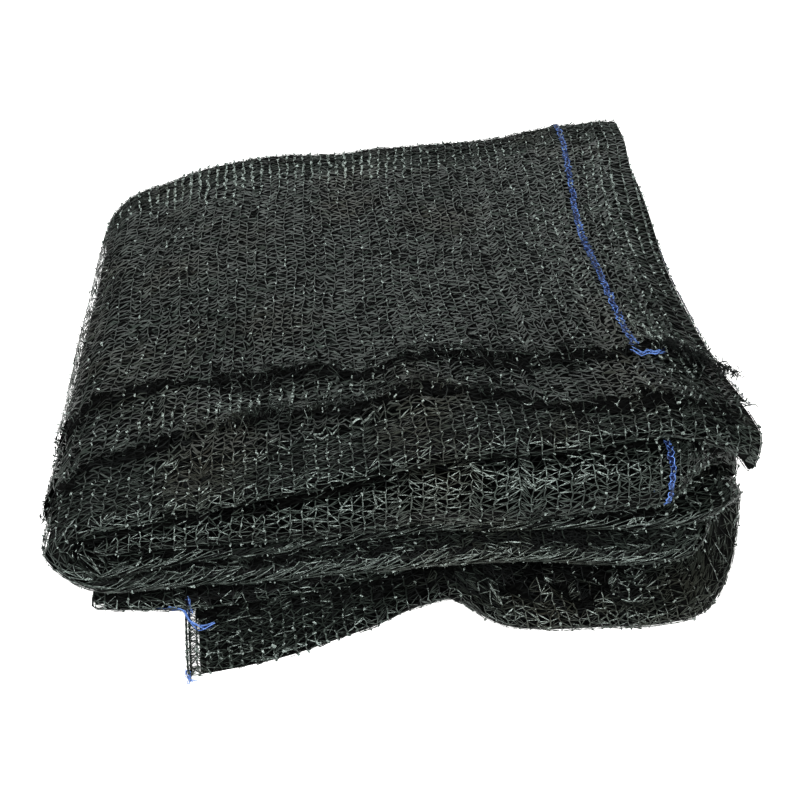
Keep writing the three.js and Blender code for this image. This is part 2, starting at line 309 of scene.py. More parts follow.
# slack of the whole pack: one soft warp of space, so plies that lie on each other stay apart
warpDraw = np.random.default_rng(11)
warpAngle = warpDraw.uniform(0, 2 * np.pi, creases["waveCount"])
warpTurn = 2 * np.pi / warpDraw.uniform(*creases["waveLength"], creases["waveCount"])
warpShift = warpDraw.uniform(0, 2 * np.pi, (creases["waveCount"], 3))


def settle(points):
    x, y, z = points[..., 0], points[..., 1], points[..., 2]
    shares = [creases["waveAside"], creases["waveAside"], np.clip(z / creases["waveHeight"], 0, 1)]
    waveSize = creases["waveSize"] / math.sqrt(creases["waveCount"])
    moved = points.copy()
    for angle, turn, shift in zip(warpAngle, warpTurn, warpShift):
        along = turn * (x * math.cos(angle) + y * math.sin(angle) + creases["waveTilt"] * z)
        for axis, share in enumerate(shares):
            moved[..., axis] += waveSize * share * np.sin(along + shift[axis])
    arch = np.exp(-((x - creases["archX"]) / creases["archWidth"]) ** 2)
    arch = arch * np.exp(-(np.maximum(y - creases["archY"], 0) / creases["archDepth"]) ** 2)
    moved[..., 2] += creases["archRise"] * arch * np.clip(1 - z / creases["archTop"], 0, 1)
    swell = np.exp(-((x - creases["swellX"]) / creases["swellWidth"]) ** 2)
    swell = swell * np.clip(z / creases["swellHeight"], 0, 1)
    moved[..., 2] += creases["swellRise"] * swell * ease((y - creases["swellFromY"]) / creases["swellRun"])
    return moved


# point of the folded cloth, in metres in the part's frame
def place(at, y, height, level):
    at, y, height, level = np.broadcast_arrays(at, y, height, level)
    x = np.zeros(at.shape)
    z = np.zeros(at.shape)
    half = fold["panelGap"] / 2
    top, left, middle = at <= 1, (at > 1) & (at < 2), (at >= 2) & (at <= 3)
    right, bottom = (at > 3) & (at < 4), at >= 4

    b, h = y[top], height[top]
    x[top] = topX(at[top], b, level[top])
    z[top] = upperGapZ(x[top], b) - sagAt(x[top], b) + half + h

    angle, b, h = (at[left] - 1) * np.pi, y[left], height[left]
    x[left] = fold["leftBendX"] - (fold["bendInset"] + fold["leftBendReach"] * h) * np.sin(angle)
    z[left] = upperGapZ(np.full(b.shape, fold["leftBendX"]), b) + (half + h) * np.cos(angle)

    b, h = y[middle], height[middle]
    x[middle] = mix(fold["leftBendX"], fold["rightBendX"], at[middle] - 2)
    z[middle] = upperGapZ(x[middle], b) - half - h

    angle, b = (at[right] - 3) * np.pi, y[right]
    depth = plyHeights(at[right], b)[..., 0] - height[right]
    square = np.sin(angle) ** fold["rightBendSquare"]
    x[right] = fold["rightBendX"] + (fold["bendInset"] + fold["rightBendReach"] * depth) * square
    z[right] = lowerGapZ(np.full(b.shape, fold["rightBendX"]), b) + (half + depth) * np.cos(angle)

    b, h = y[bottom], height[bottom]
    x[bottom] = bottomX(at[bottom], b, level[bottom])
    z[bottom] = fold["sheetThickness"] / 2 + h

    points = settle(np.stack([x, y, z], axis=-1))
    points[..., :2] -= fold["centre"]
    return points * metre


# The knit: chains along the strip, and one tape that zigzags between each two of them
knit = {
    "seed": 100,
    "waleCount": 173,               # gaps between chains
    "walePitch": 6.35,
    "vLength": 4.6,                 # one zig and one zag of the tape
    "rowsPerV": 4,                  # rows of points for each zig and zag
    "baseTurnRows": 8,
    "baseRow": 9.0,                 # row height of the plain sheet
    "leastRows": 4,
    "coverWidth": 1.05,             # tape width on the smooth cover
    "flatWidth": 0.85,              # and where other plies lie flat
    "openWidth": 0.3,               # more where the floor shows through
    "widthSpread": 0.35,
    "leastWidth": 0.45,
    "mostWidth": 2.2,
    "flatEnd": 0.75,                # tape width at the chains
    "endLift": 0.25,                # tapes lie over the chains
    "tapeLift": 0.3,
    "liftSpread": 0.2,
    "flatTwist": 16.0,              # degrees, one standard deviation
    "slackTwist": 28.0,
    "slackReach": {"upperLoop": 48.0, "lowerLoop": 80.0, "upperBack": 60.0, "lowerBack": 60.0},
    "slackRun": 30.0,               # mm from slack to flat
    "backSlack": 0.5,
    "bendSlack": 0.8,               # in the right bend
    "selvedgeSlack": 0.35,
    "selvedgeWales": 9,
    "heldWales": 3,                 # over which a selvedge holds the knit
    "splitFrom": 0.4,               # slack from which a tape has split into strands
    "strandReaches": (-2, 1),       # in rows of points, to the next knots of the other chain
    "strandTone": (0.4, 1.0),
    "wideReaches": (-4, -3, -1, 0, 2, 3),       # and more strands where the chains are far apart
    "wideGap": 8.5,
    "longestStrand": 6.5,
    "strandWidth": (0.3, 0.8),
    "strandEnd": 0.45,              # share of its width at the chains
    "strandLift": (0.0, 0.6),
    "loopSize": (0.3, 0.95),        # loops of yarn that stand off the chains
    "loopFrom": 0.3,                # slack from which they do
    "loopShare": 0.3,               # of the slack knots that have one
    "loopPlaces": (0.0, 0.25, 0.5, 0.75),       # along a chain's link
    "loopLift": 0.8,                # of its size, off the chain
    "flatLoopLift": 0.5,            # above the flat tapes
    "loopLeans": ((0.14, -0.72, 0.68), (-0.14, -0.83, 0.55)),
    "loopSpread": 0.12,
    "loopTone": (0.3, 1.0),
    "glintShare": 0.08,             # of the loops on the flat net
    "glintSwell": 0.6,              # the more of them there are, the larger
    # painted shade: up to this share of the light, some of the tape is given darker, duller tones
    "paintedShadeUpTo": 0.65,               # share of the light up to which some of the tape is dull
    "bendLight": 0.6,               # less of it on the right bend
    "sheetLift": 0.6,               # from the plain sheet to the knit on it
    "floorGap": 0.1,                # least height of any yarn
    "outerTone": (0.0, 1.0),
    # painted shade: tones below 0 darken the tape under the outer layer, and the tape deep in the folds
    "underPaintedShadeTone": (-0.6, -0.1),      # below 0 is tape in the shade of the outer layer
    "paintedShadeTone": (-1.0, -0.4),       # and deep in the folds
    "flatChain": 0.45,
    "slackChain": 0.55,
    "selvedgeSwell": 1.5,
    "openSwell": 0.4,
    "slackSwell": (1.2, 0.8, 1.2),  # along a slack link
    "flatRidge": 0.1,
    "slackRidge": 0.25,
    "wander": 1.0,                  # how far chains leave their straight line
    "wanderAlong": 1.3,
    "wanderWaves": 6,
    "wanderTurns": ((0.03, 0.16), (0.015, 0.07)),       # radians for each chain and each mm along it
    "wanderEven": 2.4,
    "flatJitter": 0.7,
    "slackJitter": 0.6,
    "columnShift": 1.2,
    "coverSkew": 1.5,               # in chains, towards the cover's cut end
    "skewLength": 300.0,
    "skewWales": 14,
    "raggedRows": 0.22,             # of the cut ends, in rows of the plain sheet
    "overlapRows": 0.6,             # of the other ends of the patches
}

# length of the cloth across each panel and bend, for every ply
bendHeights = plyHeights(np.array([1.5, 3.5]), np.zeros(2))
bendAngles = np.linspace(0, np.pi, 61)


# length of the cloth along a bend, up to each of the angles
def bendRun(height, reachShare, square):
    sideways = (fold["bendInset"] + reachShare * height) * np.sin(bendAngles) ** square
    upward = (fold["panelGap"] / 2 + height) * np.cos(bendAngles)
    return np.concatenate([[0], np.cumsum(np.hypot(np.diff(sideways), np.diff(upward)))])


leftRuns = [bendRun(height, fold["leftBendReach"], 1.0) for height in bendHeights[0]]
rightRuns = [bendRun(bendHeights[1, 0] - height, fold["rightBendReach"], fold["rightBendSquare"])
             for height in bendHeights[1]]
# along the outermost ply of each bend, as shares of its length
bendShares = {1: leftRuns[0] / leftRuns[0][-1], 3: rightRuns[-1] / rightRuns[-1][-1]}
acrossLengths = np.stack([
    (selvedges["rightFront"] + selvedges["rightBack"]) / 2 - fold["leftBendX"],
    np.array([run[-1] for run in leftRuns]),
    np.full(plyCount, fold["rightBendX"] - fold["leftBendX"]),
    np.array([run[-1] for run in rightRuns]),
    fold["rightBendX"] - (selvedges["leftFront"] + selvedges["leftBack"]) / 2,
], axis=1)
print("width of the plies, mm:", acrossLengths.sum(axis=1).round())


# place across the width of a chain, counted from the right selvedge, on a level between two plies
def chainAt(wale, level):
    lengths = np.stack([np.interp(level, plies, stretch) for stretch in acrossLengths.T], axis=-1)
    ends = np.cumsum(lengths, axis=-1)
    distance = wale / knit["waleCount"] * ends[..., -1]
    at = np.zeros(distance.shape)
    for i in range(lengths.shape[-1]):
        start = ends[..., i] - lengths[..., i]
        share = np.clip((distance - start) / lengths[..., i], 0, 1)
        if i in bendShares:         # evenly along the cloth
            share = np.interp(share, bendShares[i], bendAngles / np.pi)
        at = np.where(distance >= start, i + share, at)
    return at


def middlePly(turn):
    return (turn["fromPly"] + turn["toPly"]) / 2


# where a turn starts, how deep it is, half the length of its arc, and the far ends of its two plies
def turnSizes(turn, at):
    here = sectionAt(at)
    outward = 1 if turn["tip"].endswith("Back") else -1
    depth = turn["depthShare"] * here["frontRise"] if "depthShare" in turn else turn["depth"]
    start = here[turn["tip"]] - outward * (turn["inset"] + depth)
    heights = plyHeights(at, start)
    rise = np.abs(heights[..., turn["fromPly"]] - heights[..., turn["toPly"]]) / 2
    halfArc = np.pi / 2 * np.sqrt((depth ** 2 + rise ** 2) / 2)
    ends = []
    for ply in [turn["fromPly"], turn["toPly"]]:
        cut = {0: "coverEdge", 1: "secondEdge"}.get(ply)
        ends.append(here[cut] if cut else np.full(at.shape, fold["splitY"]))
    lengths = [outward * (start - end) for end in ends]
    return {"outward": outward, "depth": depth, "start": start, "halfArc": halfArc, "lengths": lengths}


# how far round its turn the cloth is, from 0 to pi
def turnAngle(arc, size):
    return np.pi * np.clip(arc / size["halfArc"] / 2 + 0.5, 0, 1)


# points of the cloth round one turn: wale across, arc along from the turn's tip
def turnPoints(turn, wale, arc):
    rough = turnSizes(turn, chainAt(wale, middlePly(turn)))
    share = (1 - np.cos(turnAngle(arc, rough))) / 2
    at = chainAt(wale, mix(turn["fromPly"], turn["toPly"], share))
    size = turnSizes(turn, at)
    angle = turnAngle(arc, size)
    straight = np.maximum(np.abs(arc) - size["halfArc"], 0)
    y = size["start"] + size["outward"] * (size["depth"] * np.sin(angle) - straight)
    share = (1 - np.cos(angle)) / 2
    level = mix(turn["fromPly"], turn["toPly"], share)
    heights = heightsAt(at, y, level)
    height = mix(heights[..., turn["fromPly"]], heights[..., turn["toPly"]], share)
    return place(at, y, height, level), size


def unit(vectors):
    return vectors / np.maximum(np.linalg.norm(vectors, axis=-1, keepdims=True), 1e-12)


def normalsOf(points):
    across = np.gradient(points, axis=1)
    along = np.gradient(points, axis=0)
    return unit(np.cross(across, along))


# a tone below 0 is painted shade, drawn in the darker second material
def meshFromArrays(name, points, quads, tone=None):      # a tone below 0 takes the second material
    points = np.maximum(points, [-np.inf, -np.inf, knit["floorGap"] * metre])
    mesh = bpy.data.meshes.new(name)
    mesh.vertices.add(len(points))
    mesh.vertices.foreach_set("co", np.ascontiguousarray(points, dtype=np.float32).ravel())
    mesh.loops.add(4 * len(quads))
    mesh.loops.foreach_set("vertex_index", np.ascontiguousarray(quads, dtype=np.int32).ravel())
    mesh.polygons.add(len(quads))
    mesh.polygons.foreach_set("loop_start", np.arange(0, 4 * len(quads), 4, dtype=np.int32))
    mesh.update(calc_edges=True)
    if tone is not None:
        attribute = mesh.attributes.new("tone", "FLOAT", "POINT")
        attribute.data.foreach_set("value", np.ascontiguousarray(tone, dtype=np.float32))
        mesh.polygons.foreach_set("material_index", (tone[quads[:, 0]] < 0).astype(np.int32))
    piece = bpy.data.objects.new(name, mesh)
    bpy.context.scene.collection.objects.link(piece)
    return piece


# The plain sheet on the folds: a patch for each turn
waleLine = np.arange(knit["waleCount"] + 1, dtype=float)
patches = []
for turn in turns:
    size, fromSize, toSize = (turnSizes(turn, chainAt(waleLine, ply))
                              for ply in (middlePly(turn), turn["fromPly"], turn["toPly"]))
    rows = [max(knit["leastRows"], int(round(length.mean() / knit["baseRow"]))) for length in size["lengths"]]
    wale = np.broadcast_to(waleLine, (sum(rows) + knit["baseTurnRows"] + 1, len(waleLine)))
    arcs = []
    for row in range(rows[0]):
        arcs.append(-fromSize["halfArc"] - fromSize["lengths"][0] * (1 - row / rows[0]))
    for row in range(knit["baseTurnRows"] + 1):
        arcs.append(size["halfArc"] * (2 * row / knit["baseTurnRows"] - 1))
    for row in range(1, rows[1] + 1):
        arcs.append(toSize["halfArc"] + toSize["lengths"][1] * row / rows[1])
    arcs = np.array(arcs)
    points, _ = turnPoints(turn, wale, arcs)
    patches.append({"turn": turn, "rows": rows, "points": points, "wale": wale, "arcs": arcs})
print("sheet patches:", [patch["points"].shape for patch in patches])

# What shows: a ray from the spot leaves the pack, or does so through one open layer of the net
sight = {
    "elevations": (-4.0, 8.0, 24.0, 41.0, 60.0, 78.0),
    "azimuths": 16,
    "grazing": 0.02,                # least cosine of a look to the cloth's normal
    "throughFrom": 24.0,            # degrees, below it the outer layer looks closed
    "straight": 36.0,               # degrees off the cloth's normal that count as looking straight at it
    "straightFrom": 36.0,           # and the lowest elevation of such a look
    "lightStep": 2,                 # every second direction stands for the light
    "lightRise": 0.1,               # if it comes from above
    "leastLight": 0.5,
    "blockWales": 2,
    "bareWales": 1,                 # at the flap's selvedge, where the floor shows through the net
    "closedWales": 2,               # at the right selvedges
    "leftFrom": 1.12,               # the cover's left bend, where the light behind shows through
    "leftTo": 1.5,
    "leftBackY": 75.0,
    "clear": 0.9,                   # mm from the cloth to where a ray starts
}
sheetPoints = np.concatenate([patch["points"].reshape(-1, 3) for patch in patches])
sheetQuads = []
first = 0
for patch in patches:
    rowCount, columnCount = patch["points"].shape[:2]
    corner = first + np.arange(rowCount * columnCount).reshape(rowCount, columnCount)
    patch["quads"] = np.stack([corner[:-1, :-1], corner[:-1, 1:], corner[1:, 1:], corner[1:, :-1]], axis=-1)
    sheetQuads.append(patch["quads"].reshape(-1, 4))
    first += rowCount * columnCount
tree = BVHTree.FromPolygons(sheetPoints.tolist(), np.concatenate(sheetQuads).tolist())

directions = [(0.0, 0.0, 1.0)]
for ring, elevation in enumerate(np.radians(sight["elevations"])):
    for i in range(sight["azimuths"]):
        azimuth = 2 * np.pi * (i + ring / 2) / sight["azimuths"]
        directions.append((math.cos(elevation) * math.cos(azimuth),
                           math.cos(elevation) * math.sin(azimuth), math.sin(elevation)))
directionArray = np.array(directions)
lightDirections = [d for d in directionArray[::sight["lightStep"]] if d[2] > sight["lightRise"]]
throughRise = math.sin(math.radians(sight["throughFrom"]))
straightShare = math.cos(math.radians(sight["straight"]))
straightRise = math.sin(math.radians(sight["straightFrom"]))


# layers of the net over a spot (2 means hidden), the side that shows, and whether it shows straight on
def layersOver(spot, normal):
    facing = directionArray @ normal
    best = (2, 1, False)
    for side in (1, -1):
        origin = spot + side * sight["clear"] * metre * normal
        if origin[2] < 0:
            continue
        for index in np.argsort(-side * facing):
            turned = side * facing[index]
            if turned < sight["grazing"] or (best[0] == 0 and turned < straightShare):
                break
            direction = directions[index]
            hit = tree.ray_cast(tuple(origin), direction)[0]
            if hit is None and turned > straightShare and direction[2] > straightRise:
                return (0, side, True)
            if hit is None:
                best = (0, side, False)
                if turned < straightShare:
                    break
            elif best[0] == 2 and direction[2] > throughRise:
                beyond = [h + sight["clear"] * metre * d for h, d in zip(hit, direction)]
                if tree.ray_cast(beyond, direction)[0] is None:
                    best = (1, side, False)
    return best


# share of the light from above and in front that reaches a spot
def opennessOf(spot, normal):
    origin = spot + sight["clear"] * metre * normal
    total, free = 0.0, 0.0
    for direction in lightDirections:
        weight = max(float(direction @ normal), 0.0)
        total += weight
        if weight > 0 and tree.ray_cast(tuple(origin), tuple(direction))[0] is None:
            free += weight
    return free / max(total, sight["leastLight"])


def widen(mask):
    wide = mask.copy()
    wide[1:] |= mask[:-1]
    wide[:-1] |= mask[1:]
    tall = wide.copy()
    tall[:, 1:] |= wide[:, :-1]
    tall[:, :-1] |= wide[:, 1:]
    return tall


for patch in patches:
    points = patch["points"]
    normals = normalsOf(points)
    centres = (points[:-1, :-1] + points[1:, 1:] + points[1:, :-1] + points[:-1, 1:]) / 4
    facing = unit(normals[:-1, :-1] + normals[1:, 1:] + normals[1:, :-1] + normals[:-1, 1:])
    seen = np.zeros(centres.shape[:2] + (3,), dtype=int)
    for row in range(centres.shape[0]):
        for column in range(0, centres.shape[1], sight["blockWales"]):
            found = layersOver(centres[row, column], facing[row, column])
            seen[row, column:column + sight["blockWales"]] = found
    patch["open"] = seen[..., 2] > 0
    patch["open"][:, :sight["closedWales"]] = False
    turnRow = patch["rows"][0]
    if patch["turn"]["tip"].endswith("Back"):
        patch["open"][turnRow - 1:turnRow + knit["baseTurnRows"] + 1] = False
    sideways = chainAt(waleLine[:-1] + 0.5, middlePly(patch["turn"]))
    patch["open"] &= (sideways < 3) | (sideways > 4)        # the right bend looks closed
    patch["open"][:1] |= patch["turn"]["fromPly"] == 0      # the cut ends are ragged
    patch["open"][-1:] |= patch["turn"]["toPly"] == 1
    patch["open"][:, -sight["bareWales"]:] |= patch["turn"]["fromPly"] == 7     # the flap
    patch["outer"] = widen(seen[..., 0] == 0)
    if patch["turn"]["fromPly"] == 0:       # the cover's left bend, open to the light behind it
        sideways = chainAt(waleLine[:-1] + 0.5, 0)
        isLeft = (sideways > sight["leftFrom"]) & (sideways < sight["leftTo"])
        patch["open"] |= patch["outer"] & isLeft & (centres[..., 1] < sight["leftBackY"] * metre)
    patch["under"] = widen(seen[..., 0] < 2) & ~patch["outer"]
    patch["sides"] = seen[..., 1]
    patch["openness"] = np.zeros(seen.shape[:2])
    for row, column in zip(*np.nonzero(patch["outer"][:, ::sight["blockWales"]])):
        column *= sight["blockWales"]
        normal = facing[row, column] * seen[row, column, 1]
        patch["openness"][row, column:column + sight["blockWales"]] = opennessOf(centres[row, column], normal)
    print("patch", patch["turn"]["fromPly"], "to", patch["turn"]["toPly"], "outer",
          patch["outer"].mean().round(3), "under", patch["under"].mean().round(3))


# patches where more loops stand off the net, in mm: x, y, reach in x, reach in y, share
glintPatches = [
    (-120, 150, 66, 26, 1.0), (-20, 150, 64, 20, 0.9), (70, 148, 44, 16, 0.5),      # along the back
    (160, 60, 18, 120, 0.8), (105, 40, 45, 120, 0.25), (150, -90, 30, 30, 0.8),     # on the right
    (-90, -100, 90, 8, 0.6),        # the cover's cut edge
    (150, -170, 50, 40, 0.6), (-70, -203, 90, 18, 0.8),         # the right end and the flap
]


# strips of quads, each (count, sections, points across, 3), joined as one mesh
def gatherQuads(parts):
    points, quads, tones = [], [], []
    first = 0
    for strip, tone in parts:
        count, length, width = strip.shape[:3]
        index = first + np.arange(count * length * width).reshape(count, length, width)
        quads.append(np.stack([index[:, :-1, :-1], index[:, :-1, 1:], index[:, 1:, 1:], index[:, 1:, :-1]],
                              axis=-1).reshape(-1, 4))
        points.append(strip.reshape(-1, 3))
        tones.append(np.repeat(tone, length * width))
        first += count * length * width
    return np.concatenate(points), np.concatenate(quads), np.concatenate(tones)


# tapes from one chain to the next: narrow where the chain grips them, wide between, a little twisted
def tapeStrips(start, middle, end, normal, usualWidth, draw):
    count = len(start)
    side = unit(np.cross(normal, end - start))
    twist = np.radians(knit["flatTwist"] * draw.normal(0, 1, (count, 1)))
    width = usualWidth + knit["widthSpread"] * draw.normal(0, 1, (count, 1))
    half = np.clip(width, knit["leastWidth"], knit["mostWidth"]) * metre / 2
    half = half * (side * np.cos(twist) + normal * np.sin(twist))
    centre = middle + normal * (knit["tapeLift"] + knit["liftSpread"] * draw.normal(0, 1, (count, 1))) * metre
    endHalf = side * knit["flatEnd"] * metre / 2
    endLift = normal * knit["endLift"] * metre
    edges = [[spot - wide, spot + wide] for spot, wide in
             [(start + endLift, endHalf), (centre, half), (end + endLift, endHalf)]]
    return np.stack([np.stack(edge, axis=1) for edge in edges], axis=1)


# a slack tape splits into strands, which fan out from the chain where it starts to knots of the next one
def fanStrips(start, end, startNormal, endNormal, draw):
    count = len(start)
    span = np.linalg.norm(end - start, axis=1)[:, None]
    share = np.minimum(1, knit["longestStrand"] * metre / np.maximum(span, 1e-9))
    first = (1 - share) * draw.random((count, 1))
    start, end = mix(start, end, first), mix(start, end, first + share)
    side = unit(np.cross(startNormal, end - start))
    half = draw.uniform(*knit["strandWidth"], (count, 1)) * metre / 2
    edges = []
    for share, width in [(0, knit["strandEnd"]), (0.5, 1.0), (1, knit["strandEnd"])]:
        normal = unit(mix(startNormal, endNormal, share))
        twist = np.radians(knit["slackTwist"] * draw.normal(0, 1, (count, 1)))
        wide = half * width * (side * np.cos(twist) + normal * np.sin(twist))
        lift = draw.uniform(*knit["strandLift"], (count, 1)) * metre
        spot = mix(start, end, share) + normal * lift
        edges.append(np.stack([spot - wide, spot + wide], axis=1))
    return np.stack(edges, axis=1)


# share of the knots at which a loop stands off the flat net
def glintShare(spots):
    x, y = (spots[:, :2] / metre + fold["centre"]).T
    share = np.full(len(spots), knit["glintShare"])
    for centreX, centreY, reachX, reachY, most in glintPatches:
        away = ((x - centreX) / reachX) ** 2 + ((y - centreY) / reachY) ** 2
        share = np.maximum(share, most * np.exp(-away))
    return share


# small flat loops at the knots, which lean to the open front
def loopStrips(spots, normal, swell, draw):
    count = len(spots)
    size = draw.uniform(*knit["loopSize"], (2, count, 1)) * swell[:, None] * metre
    lean = np.array(knit["loopLeans"])[draw.integers(0, len(knit["loopLeans"]), count)]
    lean = unit(lean + knit["loopSpread"] * draw.normal(0, 1, (count, 3)))
    along = unit(np.cross(lean, draw.normal(0, 1, (count, 3))))
    aside = np.cross(lean, along)
    spots = spots + normal * size[0] * knit["loopLift"]
    edges = [np.stack([end - aside * size[1] / 2, end + aside * size[1] / 2], axis=1)
             for end in (spots - along * size[0], spots + along * size[0])]
    return np.stack(edges, axis=1)


# chains and yarns as ridged strips along their line of points
def ridgedStrips(line, up, widths, ridges):
    side = unit(np.cross(up, np.gradient(line, axis=1)))
    half = side * np.asarray(widths)[..., None] * metre / 2
    ridge = up * np.asarray(ridges)[..., None] * metre
    return np.stack([line - half, line + ridge, line + half], axis=2)


# soft wander of the knit, in mm, over wale and row
def wanderField(wale, arc, draw):
    field = np.zeros(wale.shape)
    for _ in range(knit["wanderWaves"]):
        waleTurn, arcTurn = (draw.uniform(*span) for span in knit["wanderTurns"])
        shift = draw.uniform(0, 2 * np.pi)
        field += np.sin(wale * waleTurn * draw.choice([-1, 1]) + arc * arcTurn + shift)
    return field / knit["wanderEven"]


# tones of some strips: painted shade on some, and the rest in their usual range
def tonesFor(isPaintedShade, usual, draw):
    return np.where(isPaintedShade, draw.uniform(*knit["paintedShadeTone"], len(isPaintedShade)), draw.uniform(*usual, len(isPaintedShade)))


# points of some chains over one zig and zag, and the way up from the net there
def chainLine(grid, vRow, chain, step):
    row = vRow[:, None] * rowsPerV + np.arange(0, rowsPerV + 1, step)
    column = np.repeat(2 * chain[:, None], row.shape[1], axis=1)
    beside = vRow, np.minimum(chain, knit["waleCount"] - 1)
    up = grid["normals"][row, column] * grid["side"][beside][:, None, None]
    return grid["points"][row, column] + up * grid["onSheet"][beside][:, None, None] * metre, up


# Blue yarns: those in every loop of the two marker chains, and a thin one in some selvedges
markerYarn = {
    "wales": {0: 7, 7: 9},          # first ply of a patch, and its chain from the right selvedge
    "reach": {0: 1000.0, 7: 27.0},  # mm along the cloth from the turn's tip
    # painted highlight: the marker on the front loop is given a lighter tone
    "paintedHighlight": {0: 0.0, 7: 0.1},
    "sway": 1.5,
    "width": 0.62,
    "ridge": 0.25,
    "levels": (0.9, 0.6, 0.9, 0.6, 0.9),
    "yarns": [                      # swing along a link, share of the width, tones
        ((1, 0.8, 1, 1.2, 1), 0.8, (0.0, 0.8)),
        ((-1, -1.2, -1, -0.8, -1), 0.8, (0.0, 0.8)),
        ((1, 0, -1, 0, 1), 0.7, (0.3, 1.0)),
        ((0, 0, 0, 0, 0), 4.0, (-0.3, 0.1)),
    ],
    "selvedgePlies": (2, 3),        # first plies of the patches with the thin yarn
    "selvedgeBackY": 30.0,
    "selvedgeShare": 0.4,
    "selvedgeLift": 0.6,
    "selvedgeWidth": 0.6,
    "selvedgeRidge": 0.3,
    "selvedgeTone": (-0.6, 0.1),
}

# Loose yarn: broken tapes that stand off the net, and the shape of every loose end
looseYarn = {
    "brokenShare": 0.06,
    "flatShare": 0.4,               # fewer on the flat net
    "bendShare": 0.5,               # and more on the two bends
    "length": (1.5, 4.5),
    "width": (0.3, 0.7),
    "tone": (0.0, 1.0),
    "lift": 0.8,                    # off the net
    "curl": 0.35,
    "sections": 2,
    "mostBend": 0.8,
    "waves": (3.0, 7.0),            # radians along a yarn
    "waveShare": 0.2,
    "droop": 0.25,                  # of its length
    "flutter": 0.4,
    "taper": 0.5,
    "floorGap": 0.5,
}


# flat strands that curl and hang from their start
def strandStrips(start, direction, length, width, curl, sections, draw):
    count = len(start)
    direction = unit(direction)
    sideways = unit(np.cross(direction, draw.normal(0, 1, (count, 3))))
    s = np.linspace(0, 1, sections + 1)[None, :, None]
    bend = np.clip(draw.normal(0, curl, (count, 1, 1)), -looseYarn["mostBend"], looseYarn["mostBend"])
    reach = np.asarray(length)[:, None, None] * metre
    lift = unit(np.cross(sideways, direction))[:, None]
    wave = draw.uniform(*looseYarn["waves"], (count, 1, 1)) * s
    swing = sideways[:, None] * np.sin(wave) + lift * (1 - np.cos(wave))
    line = (start[:, None] + direction[:, None] * s * reach + sideways[:, None] * bend * reach * s ** 2
            + swing * curl * reach * looseYarn["waveShare"])
    line[..., 2] -= looseYarn["droop"] * (reach * s ** 2)[..., 0]
    line[..., 2] = np.maximum(line[..., 2], looseYarn["floorGap"] * metre)
    flat = np.cross(direction, sideways) + looseYarn["flutter"] * draw.normal(0, 1, (count, 3))
    flat = unit(flat)[:, None]
    half = np.asarray(width)[:, None, None] * metre / 2 * (1 - looseYarn["taper"] * s)
    return np.stack([line - flat * half, line + flat * half], axis=2)


rowsPerV = knit["rowsPerV"]
midRow = rowsPerV // 2
